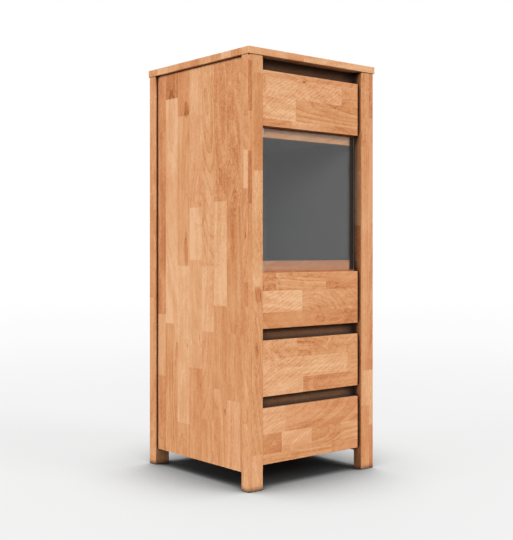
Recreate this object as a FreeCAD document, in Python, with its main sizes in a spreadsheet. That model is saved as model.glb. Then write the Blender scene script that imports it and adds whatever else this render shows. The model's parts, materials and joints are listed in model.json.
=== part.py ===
# A tall narrow highboard in edge-glued solid wood, with four drawers and a glazed compartment.
#
# Millimetres. +Z is up, +X is to the right of someone who faces the front, and the front
# looks along -Y. The origin is on the floor, under the middle of the top board.
#
# Every length is a named value in the Sizes sheet, and every sketch, feature and place is
# bound to it, so a changed size moves all that seats on it.
import FreeCAD, Part

import math
import os

import Sketcher
from FreeCAD import Placement, Rotation, Vector

SIZES = {
    # Outer frame: four posts that reach the floor, and the top board that lies on them.
    "body_width": 482,
    "body_depth": 482,
    "slab_thickness": 20,
    "slab_lap": 3,
    "slab_chamfer": 1.2,
    "post_width": 51,
    "post_depth": 34,
    "post_round": 4,
    "foot_chamfer": 1.5,
    # Heights of the front, from the floor up.
    "leg_clearance": 65,
    "front_height": 153.5,
    "front_gap": 32,
    "display_height": 402,
    "top_gap": 35,
    # Side panels, held by tongues in the posts.
    "panel_recess": 8.5,
    "panel_thickness": 20,
    "panel_drop": 17,
    "tongue_thickness": 6,
    "tongue_length": 6.5,
    "tongue_play": 0.5,
    # Back panel, held in grooves of the rear posts.
    "back_thickness": 8,
    "back_inset": 8,
    "back_groove": 8,
    "back_play": 0.5,
    # Rails and boards inside.
    "rail_height": 40,
    "rail_thickness": 18,
    "shelf_thickness": 18,
    "bottom_drop": 5,
    "display_rail_drop": 28,
    "ceiling_lift": 9,
    "cheek_thickness": 16,
    "lining_thickness": 4,
    "batten_height": 60,
    # Dowels.
    "dowel_diameter": 8,
    "dowel_length": 28,
    "dowel_play": 1,
    # Drawers.
    "drawer_front_thickness": 18,
    "drawer_front_recess": 11,
    "drawer_side_gap": 4,
    "front_round": 1.5,
    "pull_lip": 10,
    "pull_height": 22,
    "box_lift": 20,
    "box_height": 110,
    "box_rear_clearance": 37,
    "box_wall": 12,
    "box_floor_thickness": 6,
    "box_floor_lift": 10,
    "box_groove": 5,
    "box_floor_play": 0.5,
    "key_depth": 8,
    "key_neck": 7,
    "key_width": 10,
    # Three-part drawer slides.
    "slide_thickness": 12.7,
    "slide_setback": 2,
    "slide_rear_gap": 12,
    "slide_metal": 1.2,
    "slide_bend": 1,
    "outer_half": 22.5,
    "outer_reach": 10.4,
    "outer_lip": 3.2,
    "middle_web": 3.6,
    "middle_half": 18.9,
    "middle_reach": 11.2,
    "middle_lip": 3.3,
    "middle_shortening": 20,
    "inner_half": 15.2,
    "inner_tip": 6.2,
    "inner_lip": 2.7,
    "inner_shortening": 12,
    "slide_screw_end": 60,
    # Screws.
    "screw_shank": 4,
    "screw_length": 16,
    "screw_head": 7.5,
    "screw_head_height": 1.6,
    # Glazed door and its pivots.
    "glass_thickness": 5,
    "glass_recess": 26,
    "glass_gap": 4.5,
    "glass_hinge_gap": 6,
    "glass_free_gap": 4,
    "glass_edge": 0.6,
    "edge_strip_width": 14,
    "edge_strip_thickness": 1.2,
    "edge_strip_inset": 1,
    "pivot_offset": 8,
    "shoe_radius": 4.5,
    "shoe_reach": 13,
    "shoe_height": 24,
    "shoe_cap": 1.2,
    "pivot_play": 0.5,
    "pin_radius": 2,
    "pin_running_fit": 0.05,
    "pin_stand": 0.3,
    "bracket_thickness": 2,
    "bracket_width": 10,
    "bracket_reach": 14,
    "bracket_drop": 26,
    "bracket_screw_first": 9,
    "bracket_screw_pitch": 11,
    "bracket_screw_shank": 2.4,
    "bracket_screw_head": 5,
    "bracket_screw_head_height": 1.2,
    "bracket_screw_length": 8,
    # Touch latch, let into the rail over the glass and the board behind it.
    "latch_from_opening": 10,
    "latch_radius": 5,
    "latch_hole_play": 0.1,
    "latch_length": 34,
    "latch_bore": 3.05,
    "latch_bore_depth": 30,
    "plunger_radius": 3,
    "plunger_chamfer": 0.8,
    "plunger_length": 24,
    "strike_radius": 4.5,
    "strike_thickness": 1,
    "strike_gap": 0.3,
}

FINGERS = 5
DOWEL_FLUTES = 16
SCREW_FLATS = 12
TOLERANCE = 0.01
ALONG_X = Rotation(Vector(0, 1, 0), 90)
ALONG_MINUS_X = Rotation(Vector(0, 1, 0), -90)
ALONG_Y = Rotation(Vector(1, 0, 0), -90)
ALONG_Z = Rotation()

doc = FreeCAD.newDocument("Highboard")


class Size:
    """A length that carries its value and the sheet expression that it comes from."""

    def __init__(self, value, text=None):
        self.value = float(value)
        self.text = text or repr(float(value))

    def _joined(self, sign, other, value):
        return Size(value, f"({self.text} {sign} {other.text})")

    def __add__(self, other):
        other = as_size(other)
        return self._joined("+", other, self.value + other.value)

    def __sub__(self, other):
        other = as_size(other)
        return self._joined("-", other, self.value - other.value)

    def __mul__(self, other):
        other = as_size(other)
        return self._joined("*", other, self.value * other.value)

    def __truediv__(self, other):
        other = as_size(other)
        return self._joined("/", other, self.value / other.value)

    def __neg__(self):
        return ZERO - self

    __radd__ = __add__
    __rmul__ = __mul__


def as_size(length):
    return length if isinstance(length, Size) else Size(length)


ZERO = Size(0)


class Sheet:
    """The spreadsheet of driving dimensions. Each one is read back as a Size by its name."""

    def __init__(self, sizes):
        cells = doc.addObject("Spreadsheet::Sheet", "Sizes")
        for row, (name, value) in enumerate(sizes.items(), start=1):
            cells.set(f"A{row}", name)
            cells.set(f"B{row}", str(value))
            cells.setAlias(f"B{row}", name)
            setattr(self, name, Size(value, f"Sizes.{name}"))
        doc.recompute()


s = Sheet(SIZES)

# Planes and heights that several pieces share.
half_width = s.body_width / 2
front_plane = (s.slab_lap - s.body_depth) / 2
back_plane = (s.slab_lap + s.body_depth) / 2
half_opening = half_width - s.post_width
half_inside = half_width - s.panel_recess - s.panel_thickness
rail_front = front_plane + s.post_depth
rail_back = rail_front + s.rail_thickness
rear_post_front = back_plane - s.post_depth
back_panel_front = back_plane - s.back_inset - s.back_thickness
front_pitch = s.front_height + s.front_gap
display_bottom = s.leg_clearance + front_pitch * 2 + s.front_height
display_top = display_bottom + s.display_height
slab_bottom = display_top + s.front_height + s.top_gap
panel_bottom = s.leg_clearance - s.panel_drop
bottom_board = s.leg_clearance - s.bottom_drop
rail_lap = (s.rail_height - s.front_gap) / 2
display_floor_top = display_bottom + s.front_gap
display_rail_bottom = display_top - s.display_rail_drop
display_ceiling_bottom = display_rail_bottom + s.ceiling_lift
glass_front = front_plane + s.glass_recess
glass_back = glass_front + s.glass_thickness
glass_bottom = display_bottom + s.glass_gap
glass_top = display_top - s.glass_gap
pivot_x = -half_opening + s.pivot_offset
pivot_y = glass_front + s.glass_thickness / 2
slide_start = rail_front + s.slide_setback
slide_length = rear_post_front - s.slide_rear_gap - slide_start
box_front = front_plane + s.drawer_front_recess + s.drawer_front_thickness
box_length = back_panel_front - s.box_rear_clearance - box_front
box_half = half_opening - s.slide_thickness
latch_x = half_opening - s.latch_from_opening
latch_z = display_ceiling_bottom + s.shelf_thickness / 2
FRONT_BOTTOMS = {
    "drawer_1": display_top,
    "drawer_2": s.leg_clearance + front_pitch * 2,
    "drawer_3": s.leg_clearance + front_pitch,
    "drawer_4": s.leg_clearance,
}
RAIL_BOTTOMS = {
    "front_rail_top": slab_bottom - s.rail_height,
    "front_rail_display_top": display_rail_bottom,
    "front_rail_display_bottom": display_floor_top - s.rail_height,
    "front_rail_middle": FRONT_BOTTOMS["drawer_2"] - s.front_gap - rail_lap,
    "front_rail_lower": FRONT_BOTTOMS["drawer_3"] - s.front_gap - rail_lap,
}
RAIL_DOWEL_X = (half_opening + half_inside) / 2
TOP_DOWEL_X = half_width - s.post_width / 2
TOP_DOWEL_Y = (front_plane + s.post_depth / 2, back_plane - s.post_depth / 2)
SLIDE_SCREWS = (s.slide_screw_end, slide_length - s.slide_screw_end)

NODES = {}


def node(name, piece):
    """Give a finished piece its own name, which also names its file."""
    piece.Label = name
    NODES[name] = piece
    return piece


def set_size(thing, field, size):
    thing.setExpression(field, as_size(size).text)


def set_place(piece, x, y, z, turn=ALONG_Z):
    piece.Placement = Placement(Vector(0, 0, 0), turn)
    for axis, size in (("x", x), ("y", y), ("z", z)):
        set_size(piece, f"Placement.Base.{axis}", size)
    return piece


def block(name, low, size):
    """A rectangular board from its lowest corner and its size along X, Y and Z."""
    piece = doc.addObject("Part::Box", name)
    for field, length in zip(("Length", "Width", "Height"), size):
        set_size(piece, field, length)
    return set_place(piece, *low)


def fluted_rod(name, low, diameter, length, sides, turn=ALONG_Z):
    """A dowel or a screw's shank or head, drawn with flats all round."""
    piece = doc.addObject("Part::Prism", name)
    piece.Polygon = sides
    set_size(piece, "Circumradius", diameter / 2)
    set_size(piece, "Height", length)
    return set_place(piece, *low, turn)


def rod(name, low, radius, length, turn=ALONG_Z):
    piece = doc.addObject("Part::Cylinder", name)
    set_size(piece, "Radius", radius)
    set_size(piece, "Height", length)
    return set_place(piece, *low, turn)


def group(name, pieces):
    """Separate solids that share one node."""
    piece = doc.addObject("Part::Compound", name)
    piece.Links = pieces
    return piece


def cut(name, base, tool):
    piece = doc.addObject("Part::Cut", name)
    piece.Base = base
    piece.Tool = tool
    return piece


def new_body(name, x=ZERO, y=ZERO, z=ZERO):
    return set_place(doc.addObject("PartDesign::Body", name), x, y, z)


def origin_feature(body, role):
    return next(item for item in body.Origin.OriginFeatures if item.Role == role)


def new_sketch(body, name, plane, start):
    """A sketch on one of the body's own planes, moved along it by start."""
    sketch = body.newObject("Sketcher::SketchObject", f"{name}_sketch")
    sketch.AttachmentSupport = (origin_feature(body, f"{plane}_Plane"), [""])
    sketch.MapMode = "FlatFace"
    set_size(sketch, "AttachmentOffset.Base.z", -as_size(start) if plane == "XZ" else start)
    return sketch


def bind_point(sketch, geometry, point, x, y):
    for kind, size in (("DistanceX", as_size(x)), ("DistanceY", as_size(y))):
        rule = Sketcher.Constraint(kind, -1, 1, geometry, point, size.value)
        set_size(sketch, f"Constraints[{sketch.addConstraint(rule)}]", size)


def draw_outline(sketch, corners):
    """A closed outline of straight lines, with each corner bound to the sheet."""
    first = sketch.GeometryCount
    count = len(corners)
    spots = [Vector(as_size(x).value, as_size(y).value, 0) for x, y in corners]
    for index in range(count):
        line = Part.LineSegment(spots[index], spots[(index + 1) % count])
        sketch.addGeometry(line, False)
    for index in range(count):
        following = first + (index + 1) % count
        sketch.addConstraint(Sketcher.Constraint("Coincident", first + index, 2, following, 1))
    for index, (x, y) in enumerate(corners):
        bind_point(sketch, first + index, 1, x, y)


def draw_circle(sketch, x, y, radius):
    x, y, radius = as_size(x), as_size(y), as_size(radius)
    circle = Part.Circle(Vector(x.value, y.value, 0), Vector(0, 0, 1), radius.value)
    index = sketch.addGeometry(circle, False)
    bind_point(sketch, index, 3, x, y)
    rule = sketch.addConstraint(Sketcher.Constraint("Radius", index, radius.value))
    set_size(sketch, f"Constraints[{rule}]", radius)


def rectangle(x, y, width, height):
    return [(x, y), (x + width, y), (x + width, y + height), (x, y + height)]


def fluted_hole(x, y, diameter, sides):
    """The outline that a fluted rod fits."""
    radius = as_size(diameter) / 2
    angles = [2 * math.pi * index / sides for index in range(sides)]
    return [(x + radius * math.cos(angle), y + radius * math.sin(angle)) for angle in angles]


def extrude(kind, body, name, plane, start, length, outlines, circles=()):
    """Pad or Pocket that runs from start by length towards + on the plane's own axis."""
    sketch = new_sketch(body, name, plane, start)
    for corners in outlines:
        draw_outline(sketch, corners)
    for x, y, radius in circles:
        draw_circle(sketch, x, y, radius)
    feature = body.newObject(f"PartDesign::{kind}", name)
    feature.Profile = sketch
    set_size(feature, "Length", length)
    feature.Reversed = (plane == "XZ") == (kind == "Pad")
    return feature


def pad(body, name, plane, start, length, outlines, circles=()):
    return extrude("Pad", body, name, plane, start, length, outlines, circles)


def pocket(body, name, plane, start, length, outlines, circles=()):
    return extrude("Pocket", body, name, plane, start, length, outlines, circles)


def dress_edges(kind, body, name, size, chosen):
    """Fillet or Chamfer on the edges of the body's last feature that the test chooses."""
    doc.recompute()
    base = body.Tip
    edges = [f"Edge{n}" for n, edge in enumerate(base.Shape.Edges, start=1) if chosen(edge)]
    feature = body.newObject(f"PartDesign::{kind}", name)
    feature.Base = (base, edges)
    set_size(feature, "Radius" if kind == "Fillet" else "Size", size)
    return feature


def repeat(body, name, feature, axis, spacing, count):
    """The same cut again along an axis, spacing apart."""
    pattern = body.newObject("PartDesign::LinearPattern", name)
    pattern.Originals = [feature]
    pattern.Direction = (origin_feature(body, f"{axis}_Axis"), [""])
    pattern.Occurrences = count
    set_size(pattern, "Length", spacing * (count - 1))
    body.Tip = pattern
    return pattern


def is_upright(edge):
    box = edge.BoundBox
    return box.ZLength > TOLERANCE and max(box.XLength, box.YLength) < TOLERANCE


def lies_at(edge, axis, value):
    box = edge.BoundBox
    low, high = getattr(box, axis + "Min"), getattr(box, axis + "Max")
    return abs(low - value) < TOLERANCE and abs(high - value) < TOLERANCE


def make_top_panel():
    """The top board laps the posts at the front and the sides and is flush at the back."""
    width = s.body_width + s.slab_lap * 2
    depth = s.body_depth + s.slab_lap
    body = new_body("top_panel", -width / 2, front_plane - s.slab_lap, slab_bottom)
    board = [rectangle(ZERO, ZERO, width, depth)]
    pad(body, "board", "XY", ZERO, s.slab_thickness, board)
    dress_edges("Chamfer", body, "soft_edges", s.slab_chamfer, lambda edge: True)
    holes = []
    for side in (-1, 1):
        for y in TOP_DOWEL_Y:
            x = width / 2 + TOP_DOWEL_X * side
            holes.append(fluted_hole(x, y - front_plane + s.slab_lap, s.dowel_diameter,
                                     DOWEL_FLUTES))
    pocket(body, "dowel_holes", "XY", ZERO, s.dowel_length / 2 + s.dowel_play, holes)
    node("top_panel", body)


def make_post(name, side, at_back):
    """A corner post with rounded edges and the grooves that hold the panels.

    In its own frame X runs from the post's outer face inwards, mirrored by side.
    """
    y = rear_post_front if at_back else front_plane
    body = new_body(name, half_width * side, y, ZERO)

    def across(low, high):
        return (low * -1, high * -1) if side > 0 else (low, high)

    def slot(x_low, x_high, y_low, y_high):
        x_first, x_last = across(x_low, x_high)
        return [(x_first, y_low), (x_last, y_low), (x_last, y_high), (x_first, y_high)]

    pad(body, "shaft", "XY", ZERO, slab_bottom, [slot(ZERO, s.post_width, ZERO, s.post_depth)])
    dress_edges("Fillet", body, "round_edges", s.post_round, is_upright)
    dress_edges("Chamfer", body, "foot", s.foot_chamfer, lambda edge: lies_at(edge, "Z", 0))
    tongue_start = s.panel_recess + (s.panel_thickness - s.tongue_thickness) / 2
    depth = s.tongue_length + s.tongue_play
    y_low = ZERO if at_back else s.post_depth - depth
    groove = slot(tongue_start, tongue_start + s.tongue_thickness, y_low, y_low + depth)
    pocket(body, "panel_groove", "XY", panel_bottom, slab_bottom - panel_bottom, [groove])
    if at_back:
        y_low = s.post_depth - s.back_inset - s.back_thickness
        groove = slot(s.post_width - s.back_groove, s.post_width, y_low, y_low + s.back_thickness)
        pocket(body, "back_groove", "XY", bottom_board, slab_bottom - bottom_board, [groove])
    hole_depth = s.dowel_length / 2 + s.dowel_play
    x = (half_width - TOP_DOWEL_X) * -side
    hole = fluted_hole(x, s.post_depth / 2, s.dowel_diameter, DOWEL_FLUTES)
    pocket(body, "top_dowel_hole", "XY", slab_bottom - hole_depth, hole_depth, [hole])
    if not at_back:
        x = (half_width - RAIL_DOWEL_X) * -side
        holes = []
        for bottom in RAIL_BOTTOMS.values():
            z = bottom + s.rail_height / 2
            holes.append(fluted_hole(x, z, s.dowel_diameter, DOWEL_FLUTES))
        start = s.post_depth - hole_depth
        pocket(body, "rail_dowel_holes", "XZ", start, hole_depth, holes)
    node(name, body)


def make_side_panel(name, side):
    """Edge-glued staves with a tongue along both upright edges."""
    length = rear_post_front - rail_front
    thickness = s.panel_thickness
    low = (thickness - s.tongue_thickness) / 2
    high = (thickness + s.tongue_thickness) / 2
    tip = length + s.tongue_length
    outline = [
        (ZERO, ZERO), (low, ZERO), (low, -s.tongue_length), (high, -s.tongue_length), (high, ZERO),
        (thickness, ZERO), (thickness, length), (high, length), (high, tip), (low, tip),
        (low, length), (ZERO, length),
    ]
    x = half_inside if side > 0 else -half_inside - thickness
    body = new_body(name, x, rail_front, panel_bottom)
    pad(body, "board", "XY", ZERO, slab_bottom - panel_bottom, [outline])
    node(name, body)


def make_back_panel():
    half = half_opening + s.back_groove - s.back_play
    low = (-half, back_panel_front, bottom_board)
    size = (half * 2, s.back_thickness, slab_bottom - bottom_board)
    node("back_panel", block("back_panel", low, size))


def make_bottom_panel():
    """The carcass bottom, notched round the rear posts."""
    outline = [
        (-half_inside, rail_front), (half_inside, rail_front), (half_inside, rear_post_front),
        (half_opening, rear_post_front), (half_opening, back_panel_front),
        (-half_opening, back_panel_front), (-half_opening, rear_post_front),
        (-half_inside, rear_post_front),
    ]
    body = new_body("bottom_panel", z=bottom_board)
    pad(body, "board", "XY", ZERO, s.shelf_thickness, [outline])
    node("bottom_panel", body)


def make_front_rail(name, bottom):
    """A rail behind the posts. Dowels hold it, and one rail also takes the latch."""
    body = new_body(name, z=bottom)
    face = [rectangle(-half_inside, ZERO, half_inside * 2, s.rail_height)]
    pad(body, "rail", "XZ", rail_front, s.rail_thickness, face)
    holes = []
    for side in (-1, 1):
        holes.append(fluted_hole(RAIL_DOWEL_X * side, s.rail_height / 2, s.dowel_diameter,
                                 DOWEL_FLUTES))
    depth = s.dowel_length / 2 + s.dowel_play
    pocket(body, "dowel_holes", "XZ", rail_front, depth, holes)
    if name == "front_rail_display_top":
        hole = [(latch_x, latch_z - bottom, s.latch_radius + s.latch_hole_play)]
        pocket(body, "latch_hole", "XZ", rail_front, s.rail_thickness, [], hole)
    node(name, body)


def make_dowels():
    """Beech dowels, half in each piece: rails to front posts, and top board to all posts."""
    size = (s.dowel_diameter, s.dowel_length, DOWEL_FLUTES)
    pieces = []
    for side in (-1, 1):
        for bottom in RAIL_BOTTOMS.values():
            low = (RAIL_DOWEL_X * side, rail_front - s.dowel_length / 2,
                   bottom + s.rail_height / 2)
            pieces.append(fluted_rod("rail_dowel", low, *size, ALONG_Y))
        for y in TOP_DOWEL_Y:
            low = (TOP_DOWEL_X * side, y, slab_bottom - s.dowel_length / 2)
            pieces.append(fluted_rod("post_dowel", low, *size))
    node("frame_dowels", group("frame_dowels", pieces))


def make_display_boards():
    """Floor, ceiling, cheeks and back that line the glazed compartment."""
    depth = rear_post_front - rail_back
    low = (-half_inside, rail_back, display_floor_top - s.shelf_thickness)
    size = (half_inside * 2, depth, s.shelf_thickness)
    node("display_floor", block("display_floor", low, size))

    ceiling = new_body("display_ceiling", z=display_ceiling_bottom)
    outline = [rectangle(-half_inside, rail_back, half_inside * 2, depth)]
    pad(ceiling, "board", "XY", ZERO, s.shelf_thickness, outline)
    hole = [(latch_x, s.shelf_thickness / 2, s.latch_radius + s.latch_hole_play)]
    hole_depth = s.latch_length - s.rail_thickness + s.dowel_play
    pocket(ceiling, "latch_hole", "XZ", rail_back, hole_depth, [], hole)
    node("display_ceiling", ceiling)

    top = display_ceiling_bottom
    cheek = [
        (rail_front, display_floor_top), (rear_post_front, display_floor_top),
        (rear_post_front, top), (rail_back, top), (rail_back, display_rail_bottom),
        (rail_front, display_rail_bottom),
    ]
    for name, side in (("display_cheek_left", -1), ("display_cheek_right", 1)):
        x = half_inside - s.cheek_thickness if side > 0 else -half_inside
        body = new_body(name, x)
        pad(body, "board", "YZ", ZERO, s.cheek_thickness, [cheek])
        node(name, body)

    half = half_inside - s.cheek_thickness
    low = (-half, rear_post_front - s.lining_thickness, display_floor_top)
    size = (half * 2, s.lining_thickness, top - display_floor_top)
    node("display_back", block("display_back", low, size))


def slide_height(bottom):
    """Middle height of a drawer's slides, from the bottom of its front."""
    return bottom + s.box_lift + s.box_height / 2


def make_runner_battens():
    """Battens that fill the step between the side panels and the posts' inner faces."""
    pieces = []
    for bottom in FRONT_BOTTOMS.values():
        z = slide_height(bottom) - s.batten_height / 2
        for x in (-half_inside, half_opening):
            low = (x, rail_front, z)
            size = (half_inside - half_opening, rear_post_front - rail_front, s.batten_height)
            pieces.append(block("runner_batten", low, size))
    node("runner_battens", group("runner_battens", pieces))


def channel(web, half, tip, lip, metal, bend):
    """One side of a rolled channel, as points of thickness and height above its middle.

    The web stands at web, the flange runs from there to tip, and the lip turns inwards.
    """
    way = 1 if tip.value > web.value else -1
    upper = [
        (web, half - bend), (web + bend * way, half), (tip, half), (tip, half - lip),
        (tip - metal * way, half - lip), (tip - metal * way, half - metal),
        (web + (metal + bend) * way, half - metal), (web + metal * way, half - metal - bend),
    ]
    return upper + [(t, -z) for t, z in reversed(upper)]


CHANNELS = {
    "outer": (ZERO, s.outer_half, s.outer_reach, s.outer_lip),
    "middle": (s.middle_web, s.middle_half, s.middle_reach, s.middle_lip),
    "inner": (s.slide_thickness, s.inner_half, s.inner_tip, s.inner_lip),
}


def slide_member(kind, side, bottom, length):
    """One rolled channel of a slide, with its thickness measured from the batten inwards."""
    profile = channel(*CHANNELS[kind], s.slide_metal, s.slide_bend)
    outline = [(t * -side, z) for t, z in profile]
    body = new_body(f"slide_{kind}", half_opening * side, slide_start, slide_height(bottom))
    pad(body, "channel", "XZ", ZERO, length, [outline])
    if kind == "outer":
        x = ZERO if side < 0 else -s.slide_metal
        holes = [fluted_hole(y, ZERO, s.screw_shank, SCREW_FLATS) for y in SLIDE_SCREWS]
        pocket(body, "screw_holes", "YZ", x, s.slide_metal, holes)
    return body


def slide_pair(name, kind, bottom, length):
    pieces = [slide_member(kind, side, bottom, length) for side in (-1, 1)]
    node(name, group(name, pieces))


def make_cabinet_slides():
    pieces = []
    for bottom in FRONT_BOTTOMS.values():
        for side in (-1, 1):
            pieces.append(slide_member("outer", side, bottom, slide_length))
    node("slide_cabinet_members", group("slide_cabinet_members", pieces))


def pan_head_screw(x, y, z, side, shank_size, head_size):
    """A screw driven outwards along X. The underside of its head is at x.

    Each size is a diameter and a length.
    """
    outwards = ALONG_X if side > 0 else ALONG_MINUS_X
    inwards = ALONG_MINUS_X if side > 0 else ALONG_X
    screw = doc.addObject("Part::Fuse", "screw")
    screw.Base = fluted_rod("shank", (x, y, z), *shank_size, SCREW_FLATS, outwards)
    screw.Tool = fluted_rod("head", (x, y, z), *head_size, SCREW_FLATS, inwards)
    return screw


def make_slide_screws():
    shank = (s.screw_shank, s.screw_length)
    head = (s.screw_head, s.screw_head_height)
    pieces = []
    for bottom in FRONT_BOTTOMS.values():
        for side in (-1, 1):
            x = (half_opening - s.slide_metal) * side
            for y in SLIDE_SCREWS:
                spot = (x, slide_start + y, slide_height(bottom))
                pieces.append(pan_head_screw(*spot, side, shank, head))
    node("slide_screws", group("slide_screws", pieces))


def make_drawer_front(drawer, bottom):
    """The front board, with a bevelled finger pull behind its top edge.

    Its back has two dovetail sockets for the box sides and a groove for the box floor.
    """
    half = half_opening - s.drawer_side_gap
    thickness = s.drawer_front_thickness
    body = new_body(f"{drawer}_front", y=front_plane + s.drawer_front_recess, z=bottom)
    face = [rectangle(-half, ZERO, half * 2, s.front_height)]
    pad(body, "board", "XZ", ZERO, thickness, face)
    dress_edges("Fillet", body, "soft_edges", s.front_round, lambda edge: lies_at(edge, "Y", 0))
    bevel = [
        (thickness, s.front_height - s.pull_height), (thickness, s.front_height),
        (s.pull_lip, s.front_height),
    ]
    pocket(body, "finger_pull", "YZ", -half, half * 2, [bevel])
    sockets = []
    for side in (-1, 1):
        middle = (box_half - s.box_wall / 2) * side
        sockets.append([
            (middle - s.key_neck / 2, thickness), (middle + s.key_neck / 2, thickness),
            (middle + s.key_width / 2, thickness - s.key_depth),
            (middle - s.key_width / 2, thickness - s.key_depth),
        ])
    pocket(body, "sockets", "XY", ZERO, s.box_lift + s.box_height, sockets)
    half_floor = box_half - s.box_wall
    groove = rectangle(-half_floor, s.box_lift + s.box_floor_lift, half_floor * 2,
                       s.box_floor_thickness)
    pocket(body, "floor_groove", "XZ", thickness - s.box_groove, s.box_groove, [groove])
    node(f"{drawer}_front", body)


def make_box_side(name, side, bottom):
    """A box side: a dovetail key at its front end and finger joints at its back end.

    In its own frame X runs from the outer face inwards, mirrored by side.
    """
    wall = s.box_wall
    middle = wall / 2
    body = new_body(name, box_half * side, box_front, bottom + s.box_lift)
    plan = [
        (ZERO, ZERO), (middle - s.key_neck / 2, ZERO), (middle - s.key_width / 2, -s.key_depth),
        (middle + s.key_width / 2, -s.key_depth), (middle + s.key_neck / 2, ZERO),
        (wall, ZERO), (wall, box_length), (ZERO, box_length),
    ]
    pad(body, "board", "XY", ZERO, s.box_height, [[(x * -side, y) for x, y in plan]])
    groove = rectangle(wall - s.box_groove, ZERO, s.box_groove,
                       box_length - wall + s.box_groove)
    groove = [(x * -side, y) for x, y in groove]
    pocket(body, "floor_groove", "XY", s.box_floor_lift, s.box_floor_thickness, [groove])
    finger = s.box_height / FINGERS
    slot = [(x * -side, y) for x, y in rectangle(ZERO, box_length - wall, wall, wall)]
    first = pocket(body, "finger_slot", "XY", finger, finger, [slot])
    repeat(body, "finger_slots", first, "Z", finger * 2, FINGERS // 2)
    node(name, body)


def make_box_back(name, bottom):
    wall = s.box_wall
    width = box_half * 2
    body = new_body(name, -box_half, box_front + box_length - wall, bottom + s.box_lift)
    pad(body, "board", "XY", ZERO, s.box_height, [rectangle(ZERO, ZERO, width, wall)])
    groove = [rectangle(wall, ZERO, width - wall * 2, s.box_groove)]
    pocket(body, "floor_groove", "XY", s.box_floor_lift, s.box_floor_thickness, groove)
    finger = s.box_height / FINGERS
    slots = [rectangle(ZERO, ZERO, wall, wall), rectangle(width - wall, ZERO, wall, wall)]
    first = pocket(body, "finger_slot", "XY", ZERO, finger, slots)
    repeat(body, "finger_slots", first, "Z", finger * 2, FINGERS // 2 + 1)
    node(name, body)


def make_box_floor(name, bottom):
    """The box floor sits in grooves all round; its front tongue is narrower than the keys."""
    half = box_half - s.box_wall
    wide = half + s.box_groove - s.box_floor_play
    front = s.box_floor_play - s.box_groove
    back = box_length - s.box_wall + s.box_groove - s.box_floor_play
    shoulder = back - s.box_groove + s.box_floor_play
    outline = [
        (-half, front), (half, front), (half, ZERO), (wide, ZERO), (wide, shoulder),
        (half, shoulder), (half, back), (-half, back), (-half, shoulder), (-wide, shoulder),
        (-wide, ZERO), (-half, ZERO),
    ]
    body = new_body(name, y=box_front, z=bottom + s.box_lift + s.box_floor_lift)
    pad(body, "board", "XY", ZERO, s.box_floor_thickness, [outline])
    node(name, body)


def make_drawer(drawer, bottom):
    make_drawer_front(drawer, bottom)
    make_box_side(f"{drawer}_side_left", -1, bottom)
    make_box_side(f"{drawer}_side_right", 1, bottom)
    make_box_back(f"{drawer}_back", bottom)
    make_box_floor(f"{drawer}_floor", bottom)
    slide_pair(f"{drawer}_slide_inner_members", "inner", bottom,
               slide_length - s.inner_shortening)
    slide_pair(f"{drawer}_slide_middle_members", "middle", bottom,
               slide_length - s.middle_shortening)


def make_door_glass():
    width = half_opening * 2 - s.glass_hinge_gap - s.glass_free_gap
    body = new_body("door_glass", -half_opening + s.glass_hinge_gap, glass_front, glass_bottom)
    face = [rectangle(ZERO, ZERO, width, glass_top - glass_bottom)]
    pad(body, "pane", "XZ", ZERO, s.glass_thickness, face)
    dress_edges("Chamfer", body, "ground_edges", s.glass_edge,
                lambda edge: edge.BoundBox.YLength < TOLERANCE)
    node("door_glass", body)


def make_door_edge_strip():
    """A dark strip bonded behind the pane's free edge."""
    x = half_opening - s.glass_free_gap - s.edge_strip_inset - s.edge_strip_width
    low = (x, glass_back, glass_bottom + s.edge_strip_inset)
    height = glass_top - glass_bottom - s.edge_strip_inset * 2
    size = (s.edge_strip_width, s.edge_strip_thickness, height)
    node("door_edge_strip", block("door_edge_strip", low, size))


def pivot_end(name, flip, z):
    """A body whose own +Z points away from the pane, at the pane's top or bottom edge."""
    body = new_body(name, pivot_x, pivot_y, z)
    if flip:
        body.Placement.Rotation = Rotation(Vector(1, 0, 0), 180)
    return body


def make_pivot_shoes():
    """Clamps on the two hinge corners of the pane, round about the pivot axis."""
    pieces = []
    slot_start = s.glass_hinge_gap - s.pivot_offset
    for flip, z in ((False, glass_top), (True, glass_bottom)):
        body = pivot_end("pivot_shoe", flip, z)
        height = s.shoe_height + s.shoe_cap
        arm = [rectangle(ZERO, -s.shoe_radius, s.shoe_reach, s.shoe_radius * 2)]
        pad(body, "knuckle", "XY", -s.shoe_height, height, [], [(ZERO, ZERO, s.shoe_radius)])
        pad(body, "arm", "XY", -s.shoe_height, height, arm)
        slot = [rectangle(slot_start, -s.glass_thickness / 2, s.shoe_reach - slot_start,
                          s.glass_thickness)]
        pocket(body, "glass_slot", "XY", -s.shoe_height, s.shoe_height, slot)
        pocket(body, "pin_hole", "XY", ZERO, s.shoe_cap, [], [(ZERO, ZERO, s.pin_radius)])
        pieces.append(body)
    node("door_pivot_shoes", group("door_pivot_shoes", pieces))


def make_pivot_pins():
    length = s.shoe_cap + s.pivot_play + s.bracket_thickness + s.pin_stand
    pieces = [
        rod("pivot_pin", (pivot_x, pivot_y, glass_top), s.pin_radius, length),
        rod("pivot_pin", (pivot_x, pivot_y, glass_bottom - length), s.pin_radius, length),
    ]
    node("door_pivot_pins", group("door_pivot_pins", pieces))


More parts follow.
